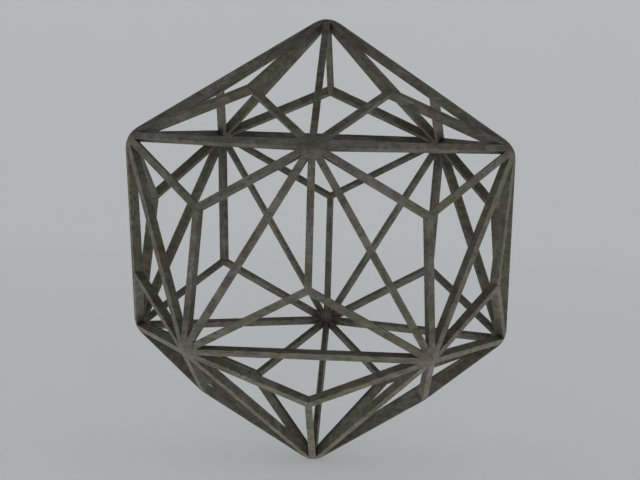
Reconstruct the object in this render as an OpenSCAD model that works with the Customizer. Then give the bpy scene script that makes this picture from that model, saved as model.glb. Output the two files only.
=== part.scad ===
// Wireframe triakis icosahedron: a lattice ornament of thin wooden slats.
//
// Twelve turned hubs sit at the corners of an icosahedron. Thirty long slats run from hub
// to hub. Over the middle of each of the twenty triangles, three short slats rise from its
// hubs and meet in a low point, mitred together round a hidden three-armed key.
//
// Origin: the centre of the lattice. +Z runs through the top hub. The first hub of the
// upper ring faces the front, -Y. Lengths are in millimetres.

/* [Lattice] */
// Distance from the centre to the point where the outer faces of a hub's slats would meet
vertex_r = 125; // [90:1:250]

/* [Slats] */
// Width of a slat across its outer face
slat_w = 4.05; // [3.2:0.05:6]
// Depth of a slat, from its outer face to its inner face
slat_d = 5.15; // [4:0.05:7]

/* [Hubs] */
// Gap between neighbouring slats where they meet a hub
slat_gap = 0.1; // [0.05:0.05:0.4]
// How far a hub's inner end stands past the inner faces of its slats
hub_lip = 0.25; // [0.1:0.05:1]

/* [Tenons] */
// Diameter of the round tenon on a slat's end
tenon_d = 1.4; // [1:0.05:1.6]
// Length of the tenon
tenon_l = 2.4; // [1.5:0.05:2.6]

/* [Apex keys] */
// Length of a key's arm, from the middle of the joint
key_arm = 5; // [3:0.1:10]
// Thickness of a key's arm, across the slat
key_t = 1.2; // [0.8:0.05:1.5]
// Height of a key, along the depth of the slat
key_h = 2.4; // [1.2:0.05:2.8]

/* [Fits] */
// Thickness of a line of glue between two faces
glue_gap = 0.05; // [0.02:0.01:0.15]
// Gap all round a tenon in its hole
tenon_clear = 0.05; // [0.02:0.01:0.15]
// Gap past the end of a tenon in its hole
tenon_end_gap = 0.2; // [0.1:0.05:0.4]
// Gap all round a key in its slots
key_clear = 0.05; // [0.02:0.01:0.15]

/* [Hidden] */
$fn = 96;

// Hubs go round the vertical axis in fives, and round a hub long and short slats take turns
fold = 5;
turn = 360 / fold;
half_turn = turn / 2;
ring = [1:fold];

// Three short slats meet at an apex
apex_fold = 3;
apex_turn = 360 / apex_fold;

// Angle at the centre between neighbouring hubs, and from a hub to an apex beside it
hub_angle = atan(2);
apex_angle = acos(sqrt((fold + 2 * sqrt(fold)) / (apex_fold * fold)));

// A slat leaves its hub this far below square to the hub's axis, and reaches the apex
// this far below square to the apex's own axis
slat_slope = hub_angle / 2;
apex_slope = apex_angle - slat_slope;

// Every slat's outer face touches one sphere, of radius mid_r
mid_r = vertex_r * cos(slat_slope);
apex_r = mid_r / cos(apex_slope);
long_l = 2 * vertex_r * sin(slat_slope);
short_l = vertex_r * sin(slat_slope) + apex_r * sin(apex_slope);

// The sides of a slat are planed square to the two flat faces of the solid that they border
dihedral = acos(-(24 + 15 * sqrt(5)) / 61);
side_lean = (180 - dihedral) / 2;
slat_in_w = slat_w - 2 * slat_d * tan(side_lean);

// A hub has ten flats, each square to the slat that it carries. They are set out so that
// neighbouring slats, at the width of their outer faces, just clear each other
hub_flats = 2 * fold;
rim_r = (slat_w + slat_gap) / 2 / tan(180 / hub_flats);
seat_x = rim_r / cos(slat_slope);
slat_x = seat_x + glue_gap;
hub_h = seat_x * sin(slat_slope) + slat_d * cos(slat_slope) + hub_lip;

// The dome touches the slats' outer faces where they meet the flats, so the planes of all
// ten flats pass through its centre
dome_r = rim_r / sin(slat_slope);
dome_drop = dome_r / cos(slat_slope);
cutter = 4 * dome_r;

// Tenons and keys lie in the middle of a slat's depth
middle = slat_d / 2;
bore_d = tenon_d + 2 * tenon_clear;
bore_l = tenon_l + tenon_end_gap;

// Cuts run past the solid by this much, and joined shapes reach into each other by it
overrun = 1;

// Azimuths of the first hub of each ring
upper_start = -90;
lower_start = upper_start + half_turn;

hub_colour = "#5f5c50";
long_colour = "#6e6a5d";
short_colour = "#77725f";
key_colour = "#a08a63";

function upper_azimuth(k) = upper_start + turn * (k - 1);
function lower_azimuth(k) = lower_start + turn * (k - 1);

// Puts its children on a spoke from the centre: +Z outwards, and +X towards the south of
// the lattice, turned by spin
module on_spoke(polar, azimuth, spin, radius)
    rotate([0, polar, azimuth]) rotate([0, 0, spin]) translate([0, 0, radius]) children();

// Frame of a hub: a long slat leaves it at 180 degrees, towards the pole, and every turn
// from there, with the short slats half way between them
module at_top_hub() on_spoke(0, upper_start, 180, vertex_r) children();
module at_upper_hub(k) on_spoke(hub_angle, upper_azimuth(k), 0, vertex_r) children();
module at_lower_hub(k) on_spoke(180 - hub_angle, lower_azimuth(k), 180, vertex_r) children();
module at_bottom_hub() on_spoke(180, lower_start, 0, vertex_r) children();

// Frame of a slat, inside a hub's frame: +X along the slat, its outer face on z = 0
module along_slat(azimuth) rotate([0, slat_slope, azimuth]) children();

// Round hole for a slat's tenon, square to the flat that it opens in
module tenon_hole()
    translate([seat_x - bore_l, 0, -middle]) rotate([0, 90, 0]) cylinder(h = bore_l + overrun, d = bore_d);

// A hub: a ball cut to ten flats and a level inner end, with a hole in each flat for one
// slat's tenon
module hub() color(hub_colour) difference() {
    translate([0, 0, -dome_drop]) sphere(r = dome_r);
    translate([0, 0, -hub_h - cutter]) cylinder(h = cutter, r = cutter);
    for (i = [0:hub_flats - 1]) along_slat(i * half_turn) {
        translate([seat_x, -cutter / 2, -cutter / 2]) cube(cutter);
        tenon_hole();
    }
}

// Plain slat along +X, with its outer face up and its sides leaning in
module bar(length) rotate([90, 0, 90]) linear_extrude(height = length) polygon([
    [-slat_w / 2, 0],
    [slat_w / 2, 0],
    [slat_in_w / 2, -slat_d],
    [-slat_in_w / 2, -slat_d],
]);

// Round tenon that points along -X from the origin
module tenon()
    translate([-tenon_l, 0, -middle]) rotate([0, 90, 0]) cylinder(h = tenon_l + overrun, d = tenon_d);

// Long slat from one hub to the next, with a tenon on each end
module long_slat() color(long_colour) {
    translate([slat_x, 0, 0]) bar(long_l - 2 * slat_x);
    translate([slat_x, 0, 0]) tenon();
    translate([long_l - slat_x, 0, 0]) mirror([1, 0, 0]) tenon();
}

// Frame of the apex at the far end of a short slat: +Z outwards, the slat towards -X
module at_apex_end() translate([short_l, 0, 0]) rotate([0, apex_slope, 0]) children();

// One arm of a key along -X from the middle of the joint, grown all round by clear
module key_arm_block(clear, past_middle)
    translate([-key_arm - clear, -key_t / 2 - clear, -middle - key_h / 2 - clear])
        cube([key_arm + clear + past_middle, key_t + 2 * clear, key_h + 2 * clear]);

// Short slat from a hub to an apex: a tenon on one end, and on the other a mitre with a
// slot for one arm of the key
module short_slat() difference() {
    union() {
        translate([slat_x, 0, 0]) bar(short_l - slat_x + slat_w);
        translate([slat_x, 0, 0]) tenon();
    }
    at_apex_end() {
        for (side = [-1, 1]) rotate([0, 0, side * (90 - apex_turn / 2)])
            translate([-glue_gap / 2, -cutter / 2, -cutter / 2]) cube(cutter);
        key_arm_block(key_clear, overrun);
    }
}

// The five short slats of one hub
module short_slats() color(short_colour)
    for (i = [0:fold - 1]) along_slat(i * turn) short_slat();

// Three-armed key that holds an apex together from inside
module apex_key()
    for (i = [0:apex_fold - 1]) rotate([0, 0, i * apex_turn]) key_arm_block(0, 0);

// Five keys, one for each apex of a ring
module apex_keys(polar, start, spin) color(key_colour)
    for (k = ring) on_spoke(polar, start + turn * (k - 1), spin, apex_r) apex_key();

module hub_top() at_top_hub() hub();
module hub_upper(k) at_upper_hub(k) hub();
module hub_lower(k) at_lower_hub(k) hub();
module hub_bottom() at_bottom_hub() hub();

// Long slats: from each ring to its pole, round each ring, and across the belt between them
module long_slat_top(k) at_upper_hub(k) along_slat(180) long_slat();
module long_slat_upper_ring(k) at_upper_hub(k) along_slat(180 - turn) long_slat();
module long_slat_belt_right(k) at_upper_hub(k) along_slat(half_turn) long_slat();
module long_slat_belt_left(k) at_upper_hub(k) along_slat(-half_turn) long_slat();
module long_slat_lower_ring(k) at_lower_hub(k) along_slat(turn - 180) long_slat();
module long_slat_bottom(k) at_lower_hub(k) along_slat(180) long_slat();

module short_slats_top() at_top_hub() short_slats();
module short_slats_upper(k) at_upper_hub(k) short_slats();
module short_slats_lower(k) at_lower_hub(k) short_slats();
module short_slats_bottom() at_bottom_hub() short_slats();

// Apexes: a ring round each pole, and two rings in the belt. A key's arms point at the
// three hubs of its triangle
module apex_keys_top() apex_keys(apex_angle, lower_start, 0);
module apex_keys_upper() apex_keys(180 - hub_angle - apex_angle, lower_start, 180);
module apex_keys_lower() apex_keys(hub_angle + apex_angle, upper_start, 0);
module apex_keys_bottom() apex_keys(180 - apex_angle, upper_start, 180);

hub_top();
hub_bottom();
for (k = ring) hub_upper(k);
for (k = ring) hub_lower(k);
for (k = ring) long_slat_top(k);
for (k = ring) long_slat_upper_ring(k);
for (k = ring) long_slat_belt_right(k);
for (k = ring) long_slat_belt_left(k);
for (k = ring) long_slat_lower_ring(k);
for (k = ring) long_slat_bottom(k);
short_slats_top();
short_slats_bottom();
for (k = ring) short_slats_upper(k);
for (k = ring) short_slats_lower(k);
apex_keys_top();
apex_keys_upper();
apex_keys_lower();
apex_keys_bottom();
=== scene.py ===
# %% [markdown]
# # A wireframe triakis icosahedron of weathered stripwood
#
# The real object is an open lattice ornament. Twelve small hubs sit at the corners of an
# icosahedron, thirty long slats run from hub to hub, and over every triangle three short
# slats rise to a low point. The packed model already has each piece at its real size and
# place. This script dresses those pieces: it gives them eased and nicked edges and old,
# stained wood, and then sets a camera and a soft studio round them.

# %% Load the packed model as the fixed frame
import random
from math import acos, atan, cos, exp, inf, pi, radians, sin, sqrt, tan, tau

import bmesh
import bpy
import numpy as np
from mathutils import Matrix, Vector, noise


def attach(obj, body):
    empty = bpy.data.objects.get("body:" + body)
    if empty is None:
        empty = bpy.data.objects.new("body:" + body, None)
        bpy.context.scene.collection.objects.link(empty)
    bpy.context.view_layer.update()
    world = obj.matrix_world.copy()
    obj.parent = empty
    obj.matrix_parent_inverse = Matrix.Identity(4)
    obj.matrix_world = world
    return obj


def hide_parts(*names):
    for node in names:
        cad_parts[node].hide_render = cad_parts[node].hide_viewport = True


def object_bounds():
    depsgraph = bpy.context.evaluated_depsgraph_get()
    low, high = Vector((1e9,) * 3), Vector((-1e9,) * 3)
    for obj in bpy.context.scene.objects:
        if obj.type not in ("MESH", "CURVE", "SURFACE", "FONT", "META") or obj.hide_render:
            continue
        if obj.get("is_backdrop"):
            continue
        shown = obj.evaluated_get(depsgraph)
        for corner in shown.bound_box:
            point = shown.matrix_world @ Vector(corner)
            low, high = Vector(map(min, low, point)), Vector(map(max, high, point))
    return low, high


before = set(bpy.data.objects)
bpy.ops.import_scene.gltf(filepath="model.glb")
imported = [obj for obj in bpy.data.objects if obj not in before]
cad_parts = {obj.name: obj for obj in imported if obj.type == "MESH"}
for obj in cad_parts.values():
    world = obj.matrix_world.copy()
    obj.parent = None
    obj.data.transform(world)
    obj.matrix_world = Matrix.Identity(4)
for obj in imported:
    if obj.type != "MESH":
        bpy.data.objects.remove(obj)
CAD_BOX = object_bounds()
print("CAD nodes:", len(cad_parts))

# %% [markdown]
# ## Sizes
#
# Everything is placed from the same few sizes as the packed model, so that each dressed
# piece takes exactly the room of the plain one. Blender works in metres, and a maker of
# small things thinks in millimetres, so a length is written as a number times MM.

# %% Sizes of the lattice and its slats
MM = 0.001

CORNER_R = 125 * MM
SLAT_W = 4.05 * MM
SLAT_D = 5.15 * MM
SLAT_GAP = 0.1 * MM
GLUE_GAP = 0.05 * MM

FOLD = 5
TURN = tau / FOLD
HALF_TURN = TURN / 2
RING = range(1, FOLD + 1)
HUB_FLATS = 2 * FOLD

HUB_ANGLE = atan(2)
APEX_ANGLE = acos(sqrt((FOLD + 2 * sqrt(FOLD)) / (3 * FOLD)))
SLAT_SLOPE = HUB_ANGLE / 2
APEX_SLOPE = APEX_ANGLE - SLAT_SLOPE

FACE_R = CORNER_R * cos(SLAT_SLOPE)
APEX_R = FACE_R / cos(APEX_SLOPE)
LONG_L = 2 * CORNER_R * sin(SLAT_SLOPE)
SHORT_L = CORNER_R * sin(SLAT_SLOPE) + APEX_R * sin(APEX_SLOPE)

DIHEDRAL = acos(-(24 + 15 * sqrt(5)) / 61)
SIDE_LEAN = (pi - DIHEDRAL) / 2

RIM_R = (SLAT_W + SLAT_GAP) / 2 / tan(pi / HUB_FLATS)
SEAT_X = RIM_R / cos(SLAT_SLOPE)
SLAT_X = SEAT_X + GLUE_GAP
MIDDLE = SLAT_D / 2

print("long slat %.2f mm, short slat %.2f mm" % (LONG_L / MM, SHORT_L / MM))

# %% [markdown]
# ## Where the pieces go
#
# A hub's own frame has +Z pointing straight out of the lattice, so ten slats can leave it
# at even angles. A slat's own frame has +X along the slat and its outer face on Z = 0.
# A matrix for each of these lets every piece be made once, lying flat at the origin, and
# then be carried to its place.

# %% Frames of the hubs and of the slats that leave them
def on_spoke(polar, azimuth, spin, radius):
    """Frame on a spoke from the centre, with +Z outwards."""
    aim = Matrix.Rotation(azimuth, 4, "Z") @ Matrix.Rotation(polar, 4, "Y")
    return aim @ Matrix.Rotation(spin, 4, "Z") @ Matrix.Translation((0, 0, radius))


def along_slat(angle):
    """Frame of a slat inside a hub's frame."""
    return Matrix.Rotation(angle, 4, "Z") @ Matrix.Rotation(SLAT_SLOPE, 4, "Y")


UPPER_START = -pi / 2
LOWER_START = UPPER_START + HALF_TURN

hub_frames = {"top": on_spoke(0, UPPER_START, pi, CORNER_R)}
hub_frames["bottom"] = on_spoke(pi, LOWER_START, 0, CORNER_R)
for k in RING:
    upper_azimuth = UPPER_START + TURN * (k - 1)
    lower_azimuth = LOWER_START + TURN * (k - 1)
    hub_frames[f"upper_{k}"] = on_spoke(HUB_ANGLE, upper_azimuth, 0, CORNER_R)
    hub_frames[f"lower_{k}"] = on_spoke(pi - HUB_ANGLE, lower_azimuth, pi, CORNER_R)

long_slats = {}
for k in RING:
    upper = hub_frames[f"upper_{k}"]
    lower = hub_frames[f"lower_{k}"]
    long_slats[f"long_slat_top_{k}"] = upper @ along_slat(pi)
    long_slats[f"long_slat_upper_ring_{k}"] = upper @ along_slat(pi - TURN)
    long_slats[f"long_slat_belt_right_{k}"] = upper @ along_slat(HALF_TURN)
    long_slats[f"long_slat_belt_left_{k}"] = upper @ along_slat(-HALF_TURN)
    long_slats[f"long_slat_lower_ring_{k}"] = lower @ along_slat(TURN - pi)
    long_slats[f"long_slat_bottom_{k}"] = lower @ along_slat(pi)

print("hubs:", len(hub_frames), "long slats:", len(long_slats))

# %% [markdown]
# ## Gathering a piece
#
# A finish needs to know more about a spot than where it is: whether it is on the open
# outer face, on an edge that hands have rubbed, in a corner beside a hub where dirt stays
# and shade falls, both painted darker, or near a hub where fingers take hold. Each point
# of a mesh can carry such facts as attributes, here called marks, from 0 to 1. The
# attribute grain is the point's place in the board that the piece was sawn from, in
# millimetres, with X along the fibres. A small class gathers the points of a piece with
# all this, and makes one closed mesh at the end.

# %% Put an object in the scene, and marks on a mesh
MARKS = ("bare", "arris", "nook", "handled")


def linked(name, data):
    """A new object in the scene that shows this mesh, lamp or camera."""
    made = bpy.data.objects.new(name, data)
    bpy.context.scene.collection.objects.link(made)
    return made


def put_marks(mesh, grain, marks):
    """Writes the board places and the marks of all points on a mesh."""
    places = np.array(grain, np.float32)
    mesh.attributes.new("grain", "FLOAT_VECTOR", "POINT").data.foreach_set("vector", places.ravel())
    for column, mark in enumerate(MARKS):
        values = np.array([point[column] for point in marks], np.float32)
        mesh.attributes.new(mark, "FLOAT", "POINT").data.foreach_set("value", values)


print("marks on every point:", ", ".join(MARKS))

# %% A class that gathers the points, faces and marks of one piece
NO_MARKS = (0.0,) * len(MARKS)


class Piece:
    """Points, faces and finish marks of one piece while it is being made."""

    def __init__(self):
        self.points = []
        self.grain = []
        self.marks = []
        self.faces = []

    def add(self, place, grain, marks=NO_MARKS):
        """Adds one point and returns its number."""
        self.points.append(tuple(place))
        self.grain.append(tuple(grain))
        self.marks.append(marks)
        return len(self.points) - 1

    def bridge(self, first, second):
        """Joins two closed rings of as many points with a band of quads."""
        for i in range(len(first)):
            j = (i + 1) % len(first)
            self.faces.append((first[i], first[j], second[j], second[i]))

    def cap(self, ring):
        """Closes a ring with one face."""
        self.faces.append(tuple(ring))

    def build(self, name, smooth_angle):
        """Makes the object, with every face turned outwards."""
        mesh = bpy.data.meshes.new(name)
        mesh.from_pydata(self.points, [], self.faces)
        work = bmesh.new()
        work.from_mesh(mesh)
        bmesh.ops.recalc_face_normals(work, faces=work.faces)
        work.to_mesh(mesh)
        work.free()
        put_marks(mesh, self.grain, self.marks)
        mesh.shade_smooth()
        mesh.set_sharp_from_angle(angle=smooth_angle)
        return linked(name, mesh)


print("a piece can", ", ".join(name for name in vars(Piece) if not name.startswith("_")))

# %% [markdown]
# ## The board behind a piece
#
# Two slats sawn from one board never show the same figure, and a saw never follows the
# fibres exactly. So each piece gets its own place in the board, its own turn of the growth
# rings and a slight slant of the fibres. The numbers come from a seeded generator, which
# gives the same ornament on every run.

# %% Where in the board a piece was sawn
BOARD_REACH = 4000.0
FIBRE_SLANT = radians(3.5)
OFF_PITH = (7.8, 26.0)
LONG_SEED, SHORT_SEED, HUB_SEED = 100, 200, 400


def sawn_from(seed):
    """Matrix from a piece's own place, in metres, to its place in the board, in mm."""
    rng = random.Random(seed)
    turn = Matrix.Rotation(rng.uniform(0, tau), 4, "X")
    slant = Matrix.Rotation(rng.uniform(-FIBRE_SLANT, FIBRE_SLANT), 4, "Z")
    slant = slant @ Matrix.Rotation(rng.uniform(-FIBRE_SLANT, FIBRE_SLANT), 4, "Y")
    along = rng.uniform(-BOARD_REACH, BOARD_REACH)
    shift = Matrix.Translation((along, rng.uniform(*OFF_PITH), 0))
    return shift @ slant @ turn @ Matrix.Scale(1 / MM, 4)


print("the first slat was sawn %.0f mm from the pith" % sawn_from(LONG_SEED).translation.y)

# %% [markdown]
# ## A slat's section
#
# A slat is planed square to the two flat triangles that it borders, so its sides lean in
# and it is narrower inside. Nobody keeps four sharp arrises on old stripwood: they are
# eased, more in one place than in the next. The outline below takes its own radius for
# each of the four arrises, so that every cut along the slat can differ a little. The mark
# bare is 1 on the outer face, fades round its two arrises and is 0 on the other faces.

# %% The outline of a slat's section
ROUND_OUTER = 0.26 * MM
ROUND_INNER = 0.2 * MM
RUBBED_BAND = 0.3 * MM
RUBBED = (0.0, 0.8, 1.0, 0.8, 0.0)
BARE = [1.0] * 3 + [0.7, 0.35] + [0.0] * 15 + [0.35, 0.7] + [1.0] * 2


def half_width(depth):
    """Half of the slat's width this far under its outer face."""
    return SLAT_W / 2 - depth * tan(SIDE_LEAN)


def arris_points(corner, along_first, along_second, radius):
    """Five points round one arris, from one face to the next, with how rubbed each is."""
    start = corner + along_first * radius
    end = corner + along_second * radius
    bend = start / 4 + corner / 2 + end / 4
    before = corner + along_first * (radius + RUBBED_BAND)
    after = corner + along_second * (radius + RUBBED_BAND)
    return list(zip((before, start, bend, end, after), RUBBED))


def side_points(outer, inner, outer_radius, inner_radius):
    """Points down one side of the section, round its two arrises."""
    down = (inner - outer).normalized()
    across = Vector((1, 0))
    points = arris_points(outer, -across, down, outer_radius)
    points.append(((outer + inner) / 2, 0.0))
    return points + arris_points(inner, -down, -across, inner_radius)


def section(inset, radii):
    """Points (y, z, bare, arris) round a slat, from the middle of its outer face."""
    top = -inset
    foot = -SLAT_D + inset
    shift = inset / cos(SIDE_LEAN)
    outer = Vector((half_width(-top) - shift, top))
    inner = Vector((half_width(-foot) - shift, foot))
    right = side_points(outer, inner, radii[0], radii[1])
    left = side_points(outer, inner, radii[3], radii[2])
    points = [(Vector((0, top)), 0.0)] + right + [(Vector((0, foot)), 0.0)]
    points += [(point * Vector((-1, 1)), arris) for point, arris in reversed(left)]
    return [(point.x, point.y, bare, arris) for (point, arris), bare in zip(points, BARE)]


print("points round a slat:", len(section(0, (ROUND_OUTER, ROUND_INNER) * 2)))

# %% [markdown]
# ## Wear along a slat
#
# The radius of each arris wanders along the slat with smooth noise, and here and there a
# knock has chipped it. A chip is only a short swell of the radius, so it stays part of
# the same clean mesh. A slat also bows by a few hundredths of a millimetre, but not at
# its ends, which have to meet their seats.

# %% Arris wear, chips and bow
CHIP_LENGTH = 0.9 * MM
CHIP_DEPTHS = (0.15 * MM, 0.55 * MM)
CHIP_MARGIN = 3 * MM
CHIP_CUTS = (-1.6, -0.8, 0, 0.8, 1.6)
OUTER_ARRISES = (0, 3)
CHIPPED_ARRISES = (0, 0, 1, 2, 3, 3)
WANDER = 9 * MM
WANDER_SHARE = 0.55
WIDEST_ROUND = 0.8 * MM
BOW = 0.05 * MM
NOISE_REACH = 50
ARRIS_TRACK, SIDE_TRACK, SINK_TRACK = 7, 31, 57


class Wear:
    """How one slat has worn: its arrises, its chips and its slight bow."""

    def __init__(self, seed, length, chips):
        rng = random.Random(seed)
        self.length = length
        self.base = Vector([rng.uniform(-NOISE_REACH, NOISE_REACH) for axis in range(3)])
        self.chips = []
        margin = SLAT_X + CHIP_MARGIN
        for chip in range(chips):
            x = rng.uniform(margin, length - margin)
            self.chips.append((x, rng.choice(CHIPPED_ARRISES), rng.uniform(*CHIP_DEPTHS)))

    def radius(self, x, arris):
        """Radius of one arris at x."""
        plain = ROUND_OUTER if arris in OUTER_ARRISES else ROUND_INNER
        wander = noise.noise(self.base + Vector((x / WANDER, ARRIS_TRACK * arris, 0)))
        grown = plain * (1 + WANDER_SHARE * wander)
        for chip_x, chip_arris, depth in self.chips:
            if chip_arris == arris:
                grown += depth * exp(-(((x - chip_x) / CHIP_LENGTH) ** 2))
        return min(grown, WIDEST_ROUND)

    def bow(self, x):
        """Sideways and inward shift of the section at x."""
        share = (x - SLAT_X) / (self.length - 2 * SLAT_X)
        free = max(0.0, sin(pi * min(max(share, 0.0), 1.0)))
        side = noise.noise(self.base + Vector((x / (5 * WANDER), 0, SIDE_TRACK)))
        sink = noise.noise(self.base + Vector((x / (3 * WANDER), 0, SINK_TRACK)))
        return side * BOW * free, -abs(sink) * BOW * free

    def stations(self, start, end, step):
        """Places of the cuts along the slat, closer together at the chips."""
        count = max(2, round((end - start) / step))
        places = {start + (end - start) * i / count for i in range(count + 1)}
        for chip_x, chip_arris, depth in self.chips:
            for cut in CHIP_CUTS:
                near = chip_x + cut * CHIP_LENGTH
                if start < near < end:
                    places.add(near)
        return sorted(places)


print("chips from %.2f to %.2f mm deep" % (CHIP_DEPTHS[0] / MM, CHIP_DEPTHS[1] / MM))

# %% [markdown]
# ## Long slats
#
# A long slat is a straight bar with a round tenon turned on each end. The bar is a row of
# sections joined by bands of quads, with a cap at each end. The last two cuts lie close
# together and the very last is a touch smaller, which eases the end without opening the
# joint. Beside a hub, where ten slats crowd together, the sides and the inside get a mark
# that paints them darker, for the dirt that no cloth reaches and for the shade that falls
# there, and every face gets the mark handled.

# %% A class that carries one slat along, cut by cut
STEP = 2.0 * MM
END_EASE = 0.03 * MM
NOOK_REACH = 14 * MM
HANDLED_REACH = 5 * MM
TENON_D = 1.4 * MM
TENON_TIP_D = 0.8 * TENON_D
TENON_L = 2.4 * MM
TENON_SIDES = 16


def close_to_hub(distance, reach):
    """1 at a slat's end in the hub, fading to 0 over this reach."""
    return exp(-(((distance - SLAT_X) / reach) ** 2))


def square(y, z):
    """A square end: no point of the section lies further along than another."""
    return 0.0


class Slat:
    """One slat while it is added to a piece."""

    def __init__(self, piece, place, seed, length, chips, far_hub=inf):
        self.piece = piece
        self.place = place
        self.board = sawn_from(seed)
        self.wear = Wear(seed, length, chips)
        self.far_hub = far_hub

    def add(self, spot, marks=NO_MARKS):
        """Adds a point that is given in the slat's own frame."""
        return self.piece.add(self.place @ spot, self.board @ spot, marks)

    def cut(self, x, inset=0.0, end=square):
        """Adds a ring of points across the slat at x, square or mitred."""
        middle_x = x + end(0, 0)
        radii = [self.wear.radius(middle_x, arris) for arris in range(4)]
        side, sink = self.wear.bow(middle_x)
        ring = []
        for y, z, bare, arris in section(inset, radii):
            spot = Vector((x + end(y, z), y + side, z + sink))
            distance = min(spot.x, self.far_hub - spot.x)
            nook = close_to_hub(distance, NOOK_REACH) * (1 - bare)
            handled = close_to_hub(distance, HANDLED_REACH)
            ring.append(self.add(spot, (bare, arris, nook, handled)))
        return ring

    def tenon(self, x, direction):
        """Adds the round tenon on the end at x."""
        root = x + direction * END_EASE
        tip = x - direction * TENON_L
        shoulder = tip + direction * TENON_D / 8
        rings = []
        for along, width in ((root, TENON_D), (shoulder, TENON_D), (tip, TENON_TIP_D)):
            ring = []
            for i in range(TENON_SIDES):
                angle = tau * i / TENON_SIDES
                y, z = width / 2 * cos(angle), width / 2 * sin(angle)
                ring.append(self.add(Vector((along, y, z - MIDDLE))))
            rings.append(ring)
        self.piece.bridge(rings[0], rings[1])
        self.piece.bridge(rings[1], rings[2])
        self.piece.cap(rings[0])
        self.piece.cap(rings[2])

    def hub_end(self, x, direction):
        """Adds the eased square end with its tenon and returns the end's inner ring."""
        last = self.cut(x, END_EASE)
        ring = self.cut(x + direction * END_EASE)
        self.piece.cap(last)
        self.piece.bridge(last, ring)
        self.tenon(x, direction)
        return ring

    def run(self, ring, end):
        """Carries the slat on from its first ring with cuts up to x = end."""
        for x in self.wear.stations(SLAT_X + STEP, end, STEP):
            following = self.cut(x)
            self.piece.bridge(ring, following)
            ring = following
        return ring


print("tenons %.1f mm thick and %.1f mm long" % (TENON_D / MM, TENON_L / MM))

# %% Make the thirty long slats
LONG_CHIPS = 3
SLAT_SMOOTH = radians(62)


def long_slat(name, place, seed):
    """One long slat from hub to hub."""
    piece = Piece()
    slat = Slat(piece, place, seed, LONG_L, LONG_CHIPS, far_hub=LONG_L)
    near = slat.hub_end(SLAT_X, 1)
    far = slat.hub_end(LONG_L - SLAT_X, -1)
    piece.bridge(slat.run(near, LONG_L - SLAT_X - STEP), far)
    return piece.build(name, SLAT_SMOOTH)


long_pieces = {}
for number, (node, place) in enumerate(long_slats.items()):
    long_pieces[node] = long_slat(f"{node}_stripwood", place, LONG_SEED + number)
print(len(long_pieces), "long slats, points on one:", len(long_pieces[node].data.vertices))

# %% [markdown]
# ## Short slats
#
# Three short slats meet over each triangle, each mitred to a point of 120 degrees, with a
# slot for one arm of the hidden key that holds the joint. The mitre is two upright planes
# that meet on the slat's middle line, so the far end of a cut is a formula: the further
# a point is from the middle, the sooner it ends. Each half of the end is one flat face
# with a bite out of it for the slot.

# %% Mitred end with its key slot
MITRE = pi / 3
PULL_BACK = tan(pi / 2 - MITRE)
APEX_FRAME = Matrix.Translation((SHORT_L, 0, 0)) @ Matrix.Rotation(APEX_SLOPE, 4, "Y")
SLOT_LENGTH = 5.05 * MM
SLOT_WIDTH = 1.3 * MM
SLOT_HEIGHT = 2.5 * MM


def mitre_x(y):
    """Where the mitre ends at this distance from the middle, in the apex's own frame."""
    return -GLUE_GAP / 2 / cos(pi / 2 - MITRE) - abs(y) * PULL_BACK


def mitred(y, z):
    """The same place along the slat, for a point of its section."""
    return SHORT_L + (mitre_x(y) + z * sin(APEX_SLOPE)) / cos(APEX_SLOPE)


def mitred_cap(slat, ring):
    """Closes a mitred end with two faces, and sinks the slot for the key."""
    low = -MIDDLE - SLOT_HEIGHT / 2
    high = -MIDDLE + SLOT_HEIGHT / 2
    wide = SLOT_WIDTH / 2
    mouth = []
    bottom = []
    for y, z in ((0, low), (wide, low), (wide, high), (0, high), (-wide, high), (-wide, low)):
        mouth.append(slat.add(APEX_FRAME @ Vector((mitre_x(y), y, z))))
        bottom.append(slat.add(APEX_FRAME @ Vector((-SLOT_LENGTH, y, z))))
    foot = len(ring) // 2
    slat.piece.cap(ring[: foot + 1] + mouth[:4])
    slat.piece.cap(ring[foot:] + [ring[0], *mouth[3:], mouth[0]])
    slat.piece.bridge(mouth, bottom)
    slat.piece.cap(bottom)


print("a mitre reaches back %.2f mm at the arris" % ((mitre_x(0) - mitre_x(SLAT_W / 2)) / MM))

# %% Make the sixty short slats, five to a hub
SHORT_CHIPS = 2


def short_slat(piece, place, seed):
    """Adds one short slat to the piece of its hub's five."""
    slat = Slat(piece, place, seed, SHORT_L, SHORT_CHIPS)
    near = slat.hub_end(SLAT_X, 1)
    before = slat.run(near, mitred(SLAT_W / 2, -SLAT_D) - STEP / 2)
    eased = slat.cut(-END_EASE, end=mitred)
    last = slat.cut(0.0, END_EASE, mitred)
    piece.bridge(before, eased)
    piece.bridge(eased, last)
    mitred_cap(slat, last)


short_pieces = {}
for number, (hub, hub_place) in enumerate(hub_frames.items()):
    five = Piece()
    for i in range(FOLD):
        short_slat(five, hub_place @ along_slat(i * TURN), SHORT_SEED + FOLD * number + i)
    node = f"short_slats_{hub}"
    short_pieces[node] = five.build(f"{node}_stripwood", SLAT_SMOOTH)
print(len(short_pieces), "sets of short slats, points in one:", len(five.points))

# %% [markdown]
# ## Hubs
#
# A hub is turned as a ball and then cut with ten flats, one for each slat. All ten planes
# pass through the ball's centre, so every edge of a flat runs straight towards that
# centre. That makes the whole hub easy to lay out from there: spokes over the dome down
# to the rim, on along the flats, and in across the small inner end. The holes for the
# tenons are cut afterwards, with a Boolean modifier.

# %% The plain hub in its own frame
HUB_LIP = 0.25 * MM
HUB_H = SEAT_X * sin(SLAT_SLOPE) + SLAT_D * cos(SLAT_SLOPE) + HUB_LIP
DOME_R = RIM_R / sin(SLAT_SLOPE)
DOME_DROP = DOME_R / cos(SLAT_SLOPE)
BALL_CENTRE = Vector((0, 0, -DOME_DROP))
DOME_ROWS = 9
RIM_EASE = 0.03 * MM
INNER_EASE = 0.3 * MM


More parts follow.
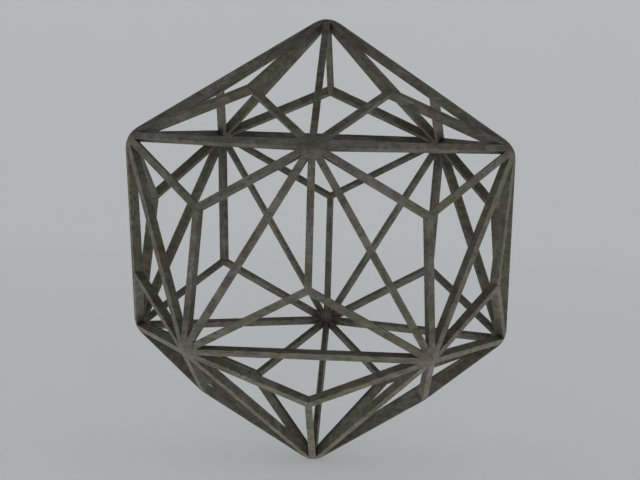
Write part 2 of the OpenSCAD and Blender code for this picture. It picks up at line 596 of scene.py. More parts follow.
def rim_polar(azimuth):
    """Angle at the ball's centre from the hub's axis to its rim."""
    turned = (azimuth + pi / HUB_FLATS) % (tau / HUB_FLATS)
    off_middle = turned - pi / HUB_FLATS
    return atan(tan(SLAT_SLOPE) / cos(off_middle))


def round_axis(radius, azimuth, z):
    """The point at this distance from the Z axis, azimuth and height."""
    return Vector((radius * cos(azimuth), radius * sin(azimuth), z))


def hub_spoke(azimuth):
    """Points down one spoke of a hub, from its dome to its inner end."""
    edge = rim_polar(azimuth)
    inner = (DOME_DROP - HUB_H) / cos(edge)
    spoke = [(edge * row / DOME_ROWS, DOME_R) for row in range(1, DOME_ROWS)]
    spoke += [(edge - 2 * RIM_EASE / DOME_R, DOME_R), (edge, DOME_R - RIM_EASE)]
    spoke += [(edge, (DOME_R + inner) / 2), (edge, inner + INNER_EASE)]
    points = [round_axis(sin(polar), azimuth, cos(polar)) * reach for polar, reach in spoke]
    level_r = (DOME_DROP - HUB_H) * tan(edge) - INNER_EASE
    return [BALL_CENTRE + point for point in points] + [round_axis(level_r, azimuth, -HUB_H)]


print("hub %.1f mm across and %.1f mm high" % (2 * RIM_R / MM, HUB_H / MM))

# %% Meshes that are swept round an axis
COLUMNS_PER_FLAT = 6
POLE = BALL_CENTRE + Vector((0, 0, DOME_R))


def swept(count, pole, outline, closed):
    """Mesh round the Z axis. outline(azimuth) gives the points on from the pole."""
    mesh = bmesh.new()
    columns = []
    for i in range(count):
        columns.append([mesh.verts.new(point) for point in outline(tau * i / count)])
    tip = mesh.verts.new(pole)
    for column, following in zip(columns, columns[1:] + columns[:1]):
        mesh.faces.new((tip, column[0], following[0]))
        for row in range(len(column) - 1):
            mesh.faces.new((column[row], column[row + 1], following[row + 1], following[row]))
    if closed:
        mesh.faces.new([column[-1] for column in columns])
        bmesh.ops.recalc_face_normals(mesh, faces=mesh.faces)
    return mesh


def object_of(mesh, name):
    """Turns a finished bmesh into an object."""
    data = bpy.data.meshes.new(name)
    mesh.to_mesh(data)
    mesh.free()
    return linked(name, data)


print("columns of points round a hub:", HUB_FLATS * COLUMNS_PER_FLAT)

# %% Drill the ten tenon holes
HOLE_D = 1.5 * MM
HOLE_L = 2.6 * MM
ROD_L = 1.5 * HOLE_L
SLIVER = 0.0001 * MM


def drill_rods():
    """One mesh of ten round rods, where the tenon holes go."""
    rods = bmesh.new()
    middle = Vector((SEAT_X - HOLE_L + ROD_L / 2, 0, -MIDDLE))
    stand = Matrix.Translation(middle) @ Matrix.Rotation(pi / 2, 4, "Y")
    for i in range(HUB_FLATS):
        bmesh.ops.create_cone(
            rods, cap_ends=True, segments=TENON_SIDES, radius1=HOLE_D / 2, radius2=HOLE_D / 2,
            depth=ROD_L, matrix=along_slat(i * HALF_TURN) @ stand,
        )
    return rods


def without_slivers(mesh):
    """Cuts a drilled mesh's many-sided faces into triangles and drops those of no area."""
    work = bmesh.new()
    work.from_mesh(mesh)
    many_sided = [face for face in work.faces if len(face.verts) > 4]
    bmesh.ops.triangulate(work, faces=many_sided, ngon_method="EAR_CLIP")
    bmesh.ops.dissolve_degenerate(work, dist=SLIVER, edges=work.edges)
    work.to_mesh(mesh)
    work.free()


def drilled_hub():
    """Mesh of a hub with its tenon holes, in the hub's own frame."""
    blank = swept(HUB_FLATS * COLUMNS_PER_FLAT, POLE, hub_spoke, closed=True)
    hub = object_of(blank, "hub_blank")
    rods = object_of(drill_rods(), "drill_rods")
    drill = hub.modifiers.new("tenon_holes", "BOOLEAN")
    drill.operation = "DIFFERENCE"
    drill.solver = "EXACT"
    drill.object = rods
    bpy.context.view_layer.update()
    depsgraph = bpy.context.evaluated_depsgraph_get()
    drilled = bpy.data.meshes.new_from_object(hub.evaluated_get(depsgraph))
    bpy.data.objects.remove(hub)
    bpy.data.objects.remove(rods)
    without_slivers(drilled)
    return drilled


HUB_MESH = drilled_hub()
print("points on a drilled hub:", len(HUB_MESH.vertices))

# %% [markdown]
# The fibres of a turned hub run along its axis, so its dome shows end grain: the growth
# rings are circles round a pith that is never quite in the middle. The marks follow from
# each point's place. The dome is bare, the rim of the inner end is a little rubbed, the
# flats against the slats take dirt and painted shade, the inner end half as much, and
# fingers reach all of it.

# %% Make the twelve hubs
HUB_TO_BOARD = Matrix.Rotation(pi / 2, 4, "Y")
PITH_OFF = 2.2
DOME_MARKS = (1.0, 0.0, 0.0, 1.0)
INNER_END_MARKS = (0.0, 0.3, 0.5, 1.0)
FLAT_MARKS = (0.0, 0.0, 1.0, 1.0)
HUB_SMOOTH = radians(40)


def turned_from(seed):
    """Matrix from a hub's own place, in metres, to its place in the post, in mm."""
    rng = random.Random(seed)
    along = rng.uniform(-BOARD_REACH, BOARD_REACH)
    off = (rng.uniform(-PITH_OFF, PITH_OFF), rng.uniform(-PITH_OFF, PITH_OFF))
    shift = Matrix.Translation((along, *off))
    turn = Matrix.Rotation(rng.uniform(0, tau), 4, "X")
    return shift @ turn @ Matrix.Scale(1 / MM, 4) @ HUB_TO_BOARD


def hub_marks(spot):
    """The four marks at a point in the hub's own frame."""
    if abs((spot - BALL_CENTRE).length - DOME_R) < 2 * RIM_EASE:
        return DOME_MARKS
    return INNER_END_MARKS if spot.z < -HUB_H + 2 * INNER_EASE else FLAT_MARKS


def turned_hub(name, place, seed):
    """One hub, carried to its corner of the lattice."""
    mesh = HUB_MESH.copy()
    mesh.name = name
    spots = [v.co.copy() for v in mesh.vertices]
    board = turned_from(seed)
    put_marks(mesh, [board @ spot for spot in spots], [hub_marks(spot) for spot in spots])
    mesh.transform(place)
    mesh.shade_smooth()
    mesh.set_sharp_from_angle(angle=HUB_SMOOTH)
    return linked(name, mesh)


hub_pieces = {}
for number, (hub, place) in enumerate(hub_frames.items()):
    hub_pieces[f"hub_{hub}"] = turned_hub(f"hub_{hub}_turned", place, HUB_SEED + number)
print("hubs made:", len(hub_pieces))

# %% [markdown]
# ## Shader maths as plain arithmetic
#
# A material's nodes are sums, products and mixes of patterns. Written as node after node
# they are hard to read, so a small class wraps a socket and lets Python's own operators
# add the Math nodes.

# %% A socket that arithmetic works on
class Flow:
    """One value on its way through a material's nodes."""

    def __init__(self, tree, socket):
        self.tree = tree
        self.socket = socket

    def calculate(self, operation, first, second):
        """Adds one Math node."""
        node = self.tree.nodes.new("ShaderNodeMath")
        node.operation = operation
        fill(self.tree, node.inputs[0], first)
        fill(self.tree, node.inputs[1], second)
        return Flow(self.tree, node.outputs[0])

    def __add__(self, other):
        return self.calculate("ADD", self, other)

    def __sub__(self, other):
        return self.calculate("SUBTRACT", self, other)

    def __rsub__(self, other):
        return self.calculate("SUBTRACT", other, self)

    def __mul__(self, other):
        return self.calculate("MULTIPLY", self, other)

    def __pow__(self, other):
        return self.calculate("POWER", self, other)

    def __abs__(self):
        return self.calculate("ABSOLUTE", self, 0.0)

    __radd__ = __add__
    __rmul__ = __mul__


def fill(tree, socket, value):
    """Links a flow to a socket, or sets the socket to a plain value."""
    if isinstance(value, Flow):
        tree.links.new(value.socket, socket)
    else:
        socket.default_value = value


operators = [name.strip("_") for name, what in vars(Flow).items() if callable(what)]
print("a flow knows", ", ".join(operators))

# %% [markdown]
# Everything that isn't plain arithmetic comes from one method, which takes a node's type,
# its settings and its sockets. A second class only names the few uses of it that come
# back again and again, in words that say what they do to a pattern. The patterns are sized
# in millimetres.

# %% A material whose nodes come from one method
def set_stops(ramp, stops):
    """Puts a colour ramp's stops, each (place, colour)."""
    while len(ramp.elements) > 1:
        ramp.elements.remove(ramp.elements[-1])
    ramp.elements[0].position, ramp.elements[0].color = stops[0]
    for place, colour in stops[1:]:
        ramp.elements.new(place).color = colour


class Material:
    """One material and its nodes."""

    def __init__(self, name):
        self.material = bpy.data.materials.new(name)
        self.material.use_nodes = True
        self.tree = self.material.node_tree
        self.tree.nodes.clear()

    def add(self, kind, settings=None, sockets=None, out=0):
        """Adds a node: its settings first, then its sockets. Returns one of its outputs."""
        node = self.tree.nodes.new(kind)
        for key, value in (settings or {}).items():
            if key == "stops":
                set_stops(node.color_ramp, value)
            else:
                setattr(node, key, value)
        for key, value in (sockets or {}).items():
            fill(self.tree, node.inputs[key], value)
        return Flow(self.tree, node.outputs[out])

    def close(self, surface):
        """Adds the shader with these sockets and the output. Returns the material."""
        output = self.tree.nodes.new("ShaderNodeOutputMaterial")
        shader = self.add("ShaderNodeBsdfPrincipled", None, surface)
        fill(self.tree, output.inputs["Surface"], shader)
        print("nodes in %s:" % self.material.name, len(self.tree.nodes))
        return self.material


print("a material can", ", ".join(name for name in vars(Material) if not name.startswith("_")))

# %% Words for the patterns of a finish
class Finish(Material):
    """A material that is written in a few plain words."""

    def mark(self, name, out="Fac"):
        """What the mesh carries at each point under this name."""
        return self.add("ShaderNodeAttribute", {"attribute_name": name}, out=out)

    def vector(self, operation, first, second=None):
        """Vector Math on one or two vectors, or on a vector and a number for SCALE."""
        sockets = {0: first}
        if second is not None:
            sockets["Scale" if operation == "SCALE" else 1] = second
        out = "Value" if operation in ("LENGTH", "DOT_PRODUCT") else "Vector"
        return self.add("ShaderNodeVectorMath", {"operation": operation}, sockets, out)

    def stretch(self, vector, size):
        """Divides a place by a size, or by one for each axis, for patterns of that size."""
        sizes = size if isinstance(size, tuple) else (size,) * 3
        return self.vector("MULTIPLY", vector, tuple(1 / length for length in sizes))

    def place(self):
        """The point's place in the whole lattice, in millimetres."""
        return self.vector("SCALE", self.add("ShaderNodeTexCoord", out="Object"), 1 / MM)

    def step(self, value, low, high):
        """0 up to low, 1 from high on, with a soft rise between."""
        sockets = {"Value": value, "From Min": low, "From Max": high}
        return self.add("ShaderNodeMapRange", {"interpolation_type": "SMOOTHSTEP"}, sockets)

    def line(self, value, centre, width):
        """1 where a value crosses centre, fading to 0 within width."""
        return 1 - self.step(abs(value - centre), width * 0.35, width)

    def span(self, value, low, high):
        """Turns 0 to 1 into low to high."""
        return value * (high - low) + low

    def mix(self, share, first, second, blend="MIX"):
        """Mixes two colours."""
        settings = {"data_type": "RGBA", "blend_type": blend}
        return self.add("ShaderNodeMix", settings, {0: share, 6: first, 7: second}, out=2)

    def clouds(self, vector, size, detail=2.0, roughness=0.5, out="Fac"):
        """Smooth noise from 0 to 1, in clouds of this size."""
        sockets = {"Vector": self.stretch(vector, size), "Scale": 1.0}
        sockets |= {"Detail": detail, "Roughness": roughness}
        return self.add("ShaderNodeTexNoise", None, sockets, out)

    def patches(self, vector, size, edge, detail=2.0, roughness=0.5):
        """1 in patches of this size and 0 between, where noise rises through the edge."""
        return self.step(self.clouds(vector, size, detail, roughness), *edge)

    def cells(self, feature, vector, size, out, **sockets):
        """A pattern of random cells of this size."""
        sockets = {"Vector": self.stretch(vector, size), "Scale": 1.0} | sockets
        return self.add("ShaderNodeTexVoronoi", {"feature": feature}, sockets, out)

    def bump(self, height, strength, depth):
        """A surface that lies deeper where height is low."""
        sockets = {"Strength": strength, "Distance": depth, "Height": height}
        return self.add("ShaderNodeBump", None, sockets)


print("words:", ", ".join(name for name in vars(Finish) if not name.startswith("_")))

# %% [markdown]
# ## Old, stained wood
#
# The ornament has stood outdoors or in a shed. Its wood has gone grey, and stains have
# spread over the finished lattice without heed to the joints: dull red-brown and mauve,
# olive and moss where algae grew, tan where it dried in the sun, and pale grey. A colour
# ramp holds these eight. Each is written as a brightness and two ratios, because wood
# colours differ less in hue than they seem to, and ratios show that at a glance.

# %% Colours of the stains
WOOD_GREEN = 0.1


def wood_colour(brightness, red, blue):
    """A wood colour: its brightness round 1, with red and blue as shares of its green."""
    green = WOOD_GREEN * brightness
    return (green * red, green, green * blue, 1)


STAINS = [
    (0.0, wood_colour(0.85, 1.10, 0.92)),  # mauve
    (0.14, wood_colour(0.96, 1.21, 0.77)),  # red-brown
    (0.28, wood_colour(0.90, 1.06, 0.62)),  # tan
    (0.42, wood_colour(1.10, 1.06, 0.75)),  # beige
    (0.56, wood_colour(0.92, 0.97, 0.68)),  # olive
    (0.70, wood_colour(0.98, 0.88, 0.62)),  # moss
    (0.84, wood_colour(1.02, 0.99, 0.93)),  # cold grey
    (1.0, wood_colour(1.18, 1.01, 0.86)),  # pale grey
]
GREENED = (0.97, 1.0, 0.87, 1)
BLEACHED = (1.03, 1.0, 1.08, 1)
print("stain colours:", len(STAINS))

# %% [markdown]
# Real stains are patches with rather sharp, ragged borders. Random cells give patches: a
# broad pattern and a small one are added up, so that a patch has smaller patches in it.
# Smooth noise bends the place that the cells are looked up at, which makes the borders
# ragged. All this follows the object's own coordinates, so a stain runs on from a slat
# into its hub. Fingers pick the ornament up by its hubs, and have evened out the stains
# there.

# %% Stains
BROAD_STAIN, BROAD_SOFTNESS = (22.0, 12.0, 12.0), 0.06
SMALL_STAIN, SMALL_SOFTNESS = (8.0, 4.4, 4.4), 0.08
BROAD_HUE, BROAD_DEPTH = 0.68, 0.4
STAIN_SPREAD = (0.15, 0.85)
REGION = ((48.0, 34.0, 34.0), (0.35, 0.65))
BEND_NOISE = (9.0, 5.0, 0.6)
BEND = 4.8
GREY = (0.5, 0.5, 0.5)
EVENED = wood_colour(0.99, 1.035, 0.77)
EVENED_SHARE = 0.5


def bent_place(finish, place):
    """A place pushed about by noise, so that straight borders turn ragged."""
    push = finish.clouds(place, *BEND_NOISE, out="Color")
    push = finish.vector("SCALE", finish.vector("SUBTRACT", push, GREY), BEND)
    return finish.vector("ADD", place, push)


def stain_cells(finish, bent, size, softness):
    """Two random numbers for each cell of a stain pattern: its hue and its depth."""
    pick = finish.cells("SMOOTH_F1", bent, size, "Color", Smoothness=softness)
    return [finish.add("ShaderNodeSeparateColor", None, {0: pick}, out) for out in (0, 1)]


def stains(finish, place, bent):
    """The stains' colour and how deep they went."""
    broad_hue, broad_depth = stain_cells(finish, bent, BROAD_STAIN, BROAD_SOFTNESS)
    small_hue, small_depth = stain_cells(finish, bent, SMALL_STAIN, SMALL_SOFTNESS)
    hue = BROAD_HUE * broad_hue + (1 - BROAD_HUE) * small_hue
    hue = finish.step(hue, *STAIN_SPREAD)
    colour = finish.add("ShaderNodeValToRGB", {"stops": STAINS}, {0: hue})
    tint = finish.mix(finish.patches(place, *REGION), GREENED, BLEACHED)
    depth = BROAD_DEPTH * broad_depth + (1 - BROAD_DEPTH) * small_depth
    depth = finish.step(depth, *STAIN_SPREAD)
    evened = EVENED_SHARE * finish.mark("handled")
    colour = finish.mix(evened, finish.mix(1.0, colour, tint, "MULTIPLY"), EVENED)
    return colour, depth + evened * (0.5 - depth)


print("broad stains about %d mm long, small ones %d mm" % (BROAD_STAIN[0], SMALL_STAIN[0]))

# %% [markdown]
# Old thin wood also cracks across. Some cracks follow the borders of stains. The rest are
# short checks at all angles, and each of those is a thin disc inside the wood: every cell
# of a random pattern holds one at its own tilt, and a face of the slat cuts through it in
# a short line. A disc grows thinner towards its rim, as a crack does towards its ends, and
# fine noise makes it wander. One that lies nearly flat in the face would show as a smear,
# so it is closed.

# %% Cracks on the borders of stains
BORDER_WIDTH = (0.008, 0.024)
CRACKED = (9.0, (0.56, 0.62))


def border_cracks(finish, place, bent):
    """Thin cracks on the borders of the broad stains, in a few places only."""
    border = finish.cells("DISTANCE_TO_EDGE", bent, BROAD_STAIN, "Distance")
    return (1 - finish.step(border, *BORDER_WIDTH)) * finish.patches(place, *CRACKED)


print("cracks up to %.2f mm wide" % (2 * BORDER_WIDTH[1] * BROAD_STAIN[1]))

# %% Short checks at all angles
CHECK_SPACING = 5.0
CHECK_REACH = 3.2
CHECK_OPEN = 0.27
CHECK_WANDER = 0.7
WANDER_NOISE = (0.8, 3.0)
CHECKED = (15.0, (0.35, 0.45))
FLAT_IN_FACE = (0.35, 0.65)


def cross_checks(finish, bent):
    """Short checks, each where a disc of its own tilt meets a face."""
    pick = finish.cells("F1", bent, CHECK_SPACING, "Color")
    tilt = finish.vector("NORMALIZE", finish.vector("SUBTRACT", pick, GREY))
    middle = finish.cells("F1", bent, CHECK_SPACING, "Position")
    from_middle = finish.vector("SUBTRACT", bent, finish.vector("SCALE", middle, CHECK_SPACING))
    wander = CHECK_WANDER * (finish.clouds(bent, *WANDER_NOISE) - 0.5)
    off_disc = abs(finish.vector("DOT_PRODUCT", from_middle, tilt) + wander)
    reach = finish.vector("LENGTH", from_middle)
    short = 1 - finish.step(reach, 0.5 * CHECK_REACH, CHECK_REACH)
    face = finish.add("ShaderNodeNewGeometry", out="Normal")
    steep = 1 - finish.step(abs(finish.vector("DOT_PRODUCT", face, tilt)), *FLAT_IN_FACE)
    closed = 1 - short * finish.patches(bent, *CHECKED) * steep
    return 1 - finish.step(off_disc + CHECK_OPEN * closed, 0.5 * CHECK_OPEN, CHECK_OPEN)


print("checks up to %.1f mm long, %.1f mm apart" % (2 * CHECK_REACH, CHECK_SPACING))

# %% [markdown]
# ## Grain
#
# Fibres, growth rings, pores and drying checks belong to each piece and follow its own
# grain. They are looked up at the attribute grain, the point's place in its board, where
# X runs along the fibres. Noise that is stretched some thirty times along X looks like
# fibres, and distance from the board's X axis gives the growth rings.

# %% Fibres and growth rings
GRAIN_WAVER = (50.0, 8.0, 8.0)
SWAY = (0, 3.0, 3.0)
GROWTH_RING = 1.3
LATE_WOOD = (0.88, 1.0)


def read_grain(finish):
    """The point's place in its board, with fibres that waver a little."""
    grain = finish.mark("grain", out="Vector")
    sway = finish.vector("MULTIPLY", finish.clouds(grain, GRAIN_WAVER, out="Color"), SWAY)
    return finish.vector("ADD", grain, sway)


def from_pith(finish, grain):
    """Distance from the middle of the tree."""
    return finish.vector("LENGTH", finish.vector("MULTIPLY", grain, (0, 1, 1)))


def growth_rings(finish, grain):
    """Rings: a slow rise through each year's growth, then a sharp fall."""
    years = from_pith(finish, grain) * (1 / GROWTH_RING)
    year = finish.add("ShaderNodeMath", {"operation": "FRACT"}, {0: years})
    return year ** 2.0 * (1 - finish.step(year, *LATE_WOOD))


def figure(finish, grain, fibre, fine, pores):
    """Fibres, fine fibres, growth rings and pores, at the sizes that are given."""
    fibres = [finish.clouds(grain, *kind) for kind in (fibre, fine)]
    return *fibres, growth_rings(finish, grain), finish.patches(grain, *pores)


print("a growth ring is %.1f mm" % GROWTH_RING)

# %% Along the grain of a slat
FIBRE = ((16.0, 0.55, 0.55), 4.0, 0.62)
FINE_FIBRE = ((6.0, 0.17, 0.17), 3.0, 0.65)
PORES = ((1.5, 0.13, 0.13), (0.62, 0.72), 1.0)
DRYING_CHECK = (55.0, 2.4, 2.4)
DRY = ((24.0, 5.0, 5.0), (0.52, 0.6), 1.0)
SPLIT = (0.5, 0.012)


def slat_grain(finish):
    """The figure and the drying checks of a slat."""
    grain = read_grain(finish)
    split = finish.line(finish.clouds(grain, DRYING_CHECK), *SPLIT)
    checks = split * finish.patches(grain, *DRY)
    return *figure(finish, grain, FIBRE, FINE_FIBRE, PORES), checks


print("a fibre is %.2f mm thick, a fine one %.2f mm" % (FIBRE[0][1], FINE_FIBRE[0][1]))

# %% [markdown]
# A hub shows the ends of its fibres instead. Its dome has growth rings as circles round a
# pith that is a little off the middle, fine open pores, and a few checks that run from
# the pith towards the rim, as they do on the end of any old turned post. The angle round
# the pith spreads those checks like a fan.

# %% On the end grain of a hub
END_FIBRE = ((9.0, 0.9, 0.9), 4.0, 0.6)
END_FINE = ((6.0, 0.22, 0.22), 3.0, 0.65)
END_PORES = ((3.0, 0.16, 0.16), (0.66, 0.74), 1.0)
RAYS = 2.6
RAY_DRIFT = 0.12
RAY_REACH = 5.0


def hub_grain(finish):
    """The same patterns as slat_grain gives, for end grain."""
    grain = read_grain(finish)
    side = finish.add("ShaderNodeSeparateXYZ", None, {0: grain}, out="Y")
    up = finish.add("ShaderNodeSeparateXYZ", None, {0: grain}, out="Z")
    angle = finish.add("ShaderNodeMath", {"operation": "ARCTAN2"}, {0: side, 1: up})
    reach = from_pith(finish, grain)
    spread = {"X": angle * RAYS, "Y": reach * RAY_DRIFT}
    fan = finish.add("ShaderNodeCombineXYZ", None, spread)
    inner = 1 - finish.step(reach, 0.4 * RAY_REACH, RAY_REACH)
    checks = finish.line(finish.clouds(fan, 1.0), *SPLIT) * inner
    return *figure(finish, grain, END_FIBRE, END_FINE, END_PORES), checks


print("checks on a hub fade out %.0f mm from the pith" % RAY_REACH)

# %% [markdown]
# ## From patterns to a finish
#
# Each pattern is a mask from 0 to 1. The broad ones scale the stain's colour a little,
# and the sharp ones mix in another colour: silver-grey on the ridges of the fibres and on
# rubbed arrises, near black in grooves, pores and cracks, and pale crumbs of lichen. The
# same masks make the height of the bump and the roughness, so that what looks like a
# groove also lies deeper and shines less.

# %% Tone of the stained wood
STREAKS = ((20.0, 1.3, 1.3), (0.3, 0.7), 3.0, 0.6)
MOTTLE = ((4.5, 2.8, 2.8), 5.0, 0.62)
MOTTLE_EDGE = (0.28, 0.72)
DEPTH_TONE = (0.78, 1.24)
STREAK_TONE = (0.86, 1.14)
MOTTLE_TONE = (0.82, 1.2)
RING_TONE = (1.03, 0.9)
SIDE_SHADE_TONE = (0.9, 1.0)
NOOK_DIRT_AND_SHADE = 0.27


def wood_tone(finish, bent, depth, mottle, rings):
    """How bright the stained wood is, round 1."""
    # Dirt and painted shade: corners beside a hub are made up to 27% darker.
    tone = 1 - NOOK_DIRT_AND_SHADE * finish.mark("nook")
    for pattern, tones in (
        (depth, DEPTH_TONE),
        (finish.patches(bent, *STREAKS), STREAK_TONE),
        (finish.step(mottle, *MOTTLE_EDGE), MOTTLE_TONE),
        (rings, RING_TONE),
        # Painted shade: the sides and the inside are 10% darker than the open outer face.
        (finish.mark("bare"), SIDE_SHADE_TONE),
    ):
        tone = tone * finish.span(pattern, *tones)
    return tone


print("deep stains and shallow ones scale the tone by %.2f to %.2f" % DEPTH_TONE)

# %% Lichen
LICHEN_SPACING = 3.1
LICHEN_EDGE = (0.06, 0.13)
CRUMB_SIZE = 0.5
CRUMB_SHARE = 0.16
LICHENED = (0.54, 0.6)


def lichen_crumbs(finish, place, mottle):
    """Small pale crusts, where the wood is already pale."""
    spots = finish.cells("F1", place, LICHEN_SPACING, "Distance")
    ragged = spots + CRUMB_SHARE * (finish.clouds(place, CRUMB_SIZE) - 0.5)
    return (1 - finish.step(ragged, *LICHEN_EDGE)) * finish.step(mottle, *LICHENED)


print("lichen up to %.1f mm across" % (2 * LICHEN_EDGE[1] * LICHEN_SPACING))

# %% Every crack in one pattern
BORDER_SHARE, ACROSS_SHARE, ALONG_SHARE = 0.85, 0.95, 0.75


def all_cracks(finish, place, bent, along):
    """Cracks on stains' borders, checks at all angles and checks along the grain."""
    cracks = BORDER_SHARE * border_cracks(finish, place, bent)
    for more in (ACROSS_SHARE * cross_checks(finish, bent), ALONG_SHARE * along):
        cracks = finish.add("ShaderNodeMath", {"operation": "MAXIMUM"}, {0: cracks, 1: more})
    return cracks


print("a check across is %.2f of the way to a groove's colour" % ACROSS_SHARE)

# %% The weathered wood
PALE_FIBRE = wood_colour(1.45, 1.0, 0.88)
DARK_GROOVE = wood_colour(0.3, 1.12, 0.72)
LICHEN = wood_colour(2.2, 1.02, 0.86)
GROOVE_SHARE, RIDGE_SHARE, PORE_SHARE = 0.22, 0.26, 0.4
RUBBED_SHARE, LICHEN_SHARE = 0.52, 0.55
RIDGE_EDGE, RIDGE_FRAY = (0.34, 0.66), 0.5
RIDGE_PATCH = (0.35, 0.65)
RUBBED_EDGE, RUBBED_FRAY = (0.4, 0.56), 0.3
ROUGHER_GROOVE, SMOOTHER_RIDGE, SMOOTHER_RUBBED = 0.1, 0.04, 0.08
BUMP_DEPTH = 0.12 * MM


def weathered_wood(name, grain_patterns, roughness):
    """One kind of weathered wood, by the function that gives its grain."""
    finish = Finish(name)
    place = finish.place()
    bent = bent_place(finish, place)
    colour, depth = stains(finish, place, bent)
    fibre, fine, rings, pores, along = grain_patterns(finish)
    mottle = finish.clouds(place, *MOTTLE)
    ridges = finish.step(fibre + RIDGE_FRAY * (fine - 0.5), *RIDGE_EDGE)
    rubbed = finish.step(mottle + RUBBED_FRAY * (fine - 0.5), *RUBBED_EDGE)
    rubbed = finish.mark("arris") * rubbed
    lichen = lichen_crumbs(finish, place, mottle)
    cracks = all_cracks(finish, place, bent, along)

    colour = finish.vector("SCALE", colour, wood_tone(finish, bent, depth, mottle, rings))
    for share, layer in (
        (GROOVE_SHARE * (1 - ridges), DARK_GROOVE),
        (RIDGE_SHARE * ridges * finish.step(mottle, *RIDGE_PATCH), PALE_FIBRE),
        (PORE_SHARE * pores, DARK_GROOVE),
        (RUBBED_SHARE * rubbed, PALE_FIBRE),
        (LICHEN_SHARE * lichen, LICHEN),
        (cracks, DARK_GROOVE),
    ):
        colour = finish.mix(share, colour, layer)

    height = 0.6 * ridges + 0.25 * fine - 0.25 * rings - 0.3 * pores + 0.4 * lichen - 1.8 * cracks
    rough = finish.span(ridges, roughness + ROUGHER_GROOVE, roughness - SMOOTHER_RIDGE)
    return finish.close({
        "Base Color": colour,
        "Roughness": rough - SMOOTHER_RUBBED * rubbed,
        "Normal": finish.bump(height, 0.6, BUMP_DEPTH),
        "Specular IOR Level": 0.3,
    })


hub_wood = weathered_wood("hub_wood", hub_grain, 0.72)
long_slat_wood = weathered_wood("long_slat_wood", slat_grain, 0.74)
short_slat_wood = weathered_wood("short_slat_wood", slat_grain, 0.76)

# %% [markdown]
# ## Keys
#
# The keys sit inside the mitred joints and never see light or weather, so their wood is
# still the colour of fresh beech. They keep the packed model's own shapes, which have no
# marks on their points. Their pattern therefore comes from the object's coordinates.

# %% Clean hardwood for the hidden keys
BEECH = [
    (0.2, (0.30, 0.20, 0.11, 1)), (0.6, (0.42, 0.29, 0.17, 1)), (0.9, (0.50, 0.36, 0.22, 1)),
]
FLECK_COLOUR = (0.22, 0.13, 0.07, 1)
KEY_FIBRE = ((0.3, 0.3, 4.0), 4.0, 0.6)
FLECKS = ((0.25, 0.25, 1.4), (0.58, 0.66))
KEY_ROUGHNESS = (0.5, 0.62)


def key_hardwood():
    """Pale, clean wood with short dark flecks."""
    finish = Finish("key_wood")
    place = finish.place()
    fibre = finish.clouds(place, *KEY_FIBRE)
    fleck = finish.patches(place, *FLECKS)
    colour = finish.add("ShaderNodeValToRGB", {"stops": BEECH}, {0: fibre})
    return finish.close({
        "Base Color": finish.mix(fleck * 0.5, colour, FLECK_COLOUR),
        "Roughness": finish.span(fibre, *KEY_ROUGHNESS),
        "Normal": finish.bump(fibre - 0.5 * fleck, 0.3, 0.05 * MM),
        "Specular IOR Level": 0.4,
    })


key_wood = key_hardwood()

# %% [markdown]
# ## Dressing the frame
#
# Every new piece rides on the one body, takes the place of the packed node that it was
# made from, which is hidden, and gets its finish. The four sets of keys stay as packed
# and only take the new material.

# %% Put the finishes on and tie the pieces to the frame
def dress(pieces, finish):
    """Gives each piece its finish and its place in the frame."""
    for node, piece in pieces.items():
        piece.data.materials.clear()
        piece.data.materials.append(finish)
        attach(piece, "root")
        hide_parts(node)


dress(hub_pieces, hub_wood)
dress(long_pieces, long_slat_wood)
dress(short_pieces, short_slat_wood)

for node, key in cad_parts.items():
    if node.startswith("apex_keys"):
        key.data.materials.clear()
        key.data.materials.append(key_wood)

print("pieces dressed:", len(hub_pieces) + len(long_pieces) + len(short_pieces))

# %% [markdown]
# ## Studio
#
# The ornament stands on a plain pale floor that curves up all round into a wall, so no
# view has an edge behind it. In the photograph the undersides are the brightest and the
# tops stay darker, so the light comes mostly from below and from the sides. A shooting
# table does this: a dim panel of light lies under the ornament, two brighter ones lie on
# either side of it, and a large soft lamp stands far in front. The glow of the air fills
# the shadows.

# %% Floor with a rounded wall
FLOOR_Z = CAD_BOX[0][2]
FLOOR_R = 2.0
FLOOR_RINGS = (0.25, 0.5, 0.75, 1.0)
SWEEP_R = 1.1
SWEEP_STEPS = 16
WALL_H = 0.7
ROUND_STEPS = 96


def floor_outline(azimuth):
    """Points from near the middle of the floor to the top of its wall."""
    outline = [(FLOOR_R * share, 0) for share in FLOOR_RINGS]
    for i in range(1, SWEEP_STEPS + 1):
        angle = pi / 2 * i / SWEEP_STEPS
        outline.append((FLOOR_R + SWEEP_R * sin(angle), SWEEP_R * (1 - cos(angle))))
    outline.append((FLOOR_R + SWEEP_R, SWEEP_R + WALL_H))
    return [round_axis(radius, azimuth, FLOOR_Z + rise) for radius, rise in outline]


shell = swept(ROUND_STEPS, (0, 0, FLOOR_Z), floor_outline, closed=False)
floor = object_of(shell, "studio_floor")
floor.data.shade_smooth()
print("the floor and its wall are %.1f m across" % floor.dimensions.x)

# %% Paint for the floor
FLOOR_GLOW = 0.18
GLOW_TINT = (0.97, 0.985, 1.0, 1)
PAINT = (0.77, 0.775, 0.785, 1)
PALER_PAINT = (0.80, 0.805, 0.815, 1)
PAINT_CLOUD = 330.0


def floor_paint():
    """Plain matt paint with the faintest unevenness."""
    finish = Finish("pale_floor_paint")
    cloud = finish.clouds(finish.place(), PAINT_CLOUD, 3.0)
    return finish.close({
        "Base Color": finish.mix(cloud, PAINT, PALER_PAINT),
        "Roughness": 0.9,
        "Specular IOR Level": 0.2,
        "Emission Color": GLOW_TINT,
        "Emission Strength": FLOOR_GLOW,
    })


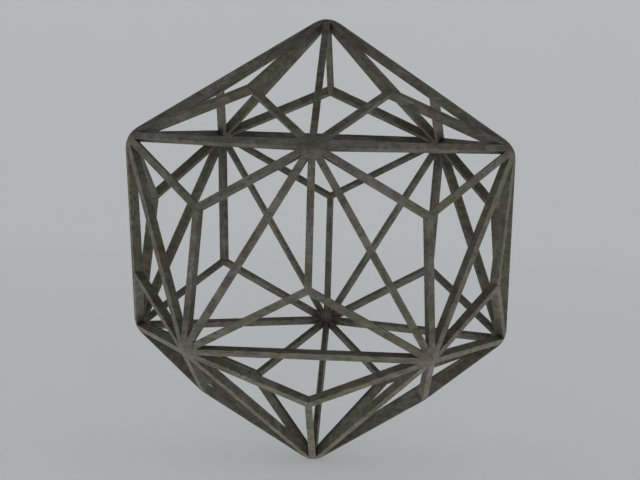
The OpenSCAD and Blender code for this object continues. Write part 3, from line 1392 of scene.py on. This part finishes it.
floor.data.materials.append(floor_paint())
floor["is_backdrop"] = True

# %% Soft lights
LAMP_TINT = (1.0, 0.972, 0.945)
AIR_TINT = (0.945, 0.985, 1.0, 1)
AIR_GLOW = 0.248
PANEL_Z = FLOOR_Z + 1 * MM
LAMPS = [
    # Name, place, the point that it faces, size across, radiance
    ("floor_panel", (0, 0, PANEL_Z), (0, 0, 1), 1.3, 0.55),
    ("left_panel", (-0.85, 0, PANEL_Z), (-0.85, 0, 1), 0.9, 2.58),
    ("right_panel", (0.85, 0, PANEL_Z), (0.85, 0, 1), 0.9, 2.45),
    ("front_lamp", (0.1, -2.0, 0.12), (0, 0, 0), 0.9, 2.93),
]


def soft_light(name, place, aim, size, radiance):
    """A round soft light that the camera doesn't see."""
    lamp = bpy.data.lights.new(name, "AREA")
    lamp.shape = "DISK"
    lamp.size = size
    lamp.energy = radiance * pi * pi * size * size / 4
    lamp.color = LAMP_TINT
    light = linked(name, lamp)
    light.location = place
    light.rotation_euler = (Vector(aim) - Vector(place)).to_track_quat("-Z", "Y").to_euler()
    light.visible_camera = False


for lamp in LAMPS:
    soft_light(*lamp)

world = bpy.data.worlds.new("studio_air")
bpy.context.scene.world = world
world.use_nodes = True
air = world.node_tree.nodes["Background"]
air.inputs["Color"].default_value = AIR_TINT
air.inputs["Strength"].default_value = AIR_GLOW
print("soft lights:", len(bpy.data.lights))

# %% [markdown]
# ## Camera
#
# The photograph's camera was found by fitting the lattice's own corners to the picture.
# It stands almost straight in front, a little to the right and a little above the middle,
# looks at the centre, and is tilted by about two degrees.

# %% Camera at the photograph's angle
CAMERA_AZIMUTH = radians(2.927)
CAMERA_ELEVATION = radians(3.590)
CAMERA_ROLL = radians(1.890)
CAMERA_DISTANCE = 1.4110
PHOTO_WIDTH = 640
FOCAL_PIXELS = 2527.96
SENSOR_WIDTH = 36.0


def aim_camera():
    """Makes the camera and returns it."""
    lens = bpy.data.cameras.new("camera")
    lens.sensor_width = SENSOR_WIDTH
    lens.lens = FOCAL_PIXELS / PHOTO_WIDTH * SENSOR_WIDTH
    camera = linked("camera", lens)
    swing = Matrix.Rotation(CAMERA_AZIMUTH, 4, "Z")
    tilt = Matrix.Rotation(pi / 2 - CAMERA_ELEVATION, 4, "X")
    roll = Matrix.Rotation(CAMERA_ROLL, 4, "Z")
    step_back = Matrix.Translation((0, 0, CAMERA_DISTANCE))
    camera.matrix_world = swing @ tilt @ roll @ step_back
    return camera


camera = aim_camera()
bpy.context.scene.camera = camera
bpy.context.scene.view_settings.view_transform = "Standard"
print("lens: %.2f mm" % camera.data.lens)

# %% Note both boxes and finish
VISUAL_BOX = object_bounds()
boxes = {"cad": CAD_BOX, "visual": VISUAL_BOX}
{name: [list(corner) for corner in box] for name, box in boxes.items()}
print("CAD box:", CAD_BOX)
print("visual box:", VISUAL_BOX)
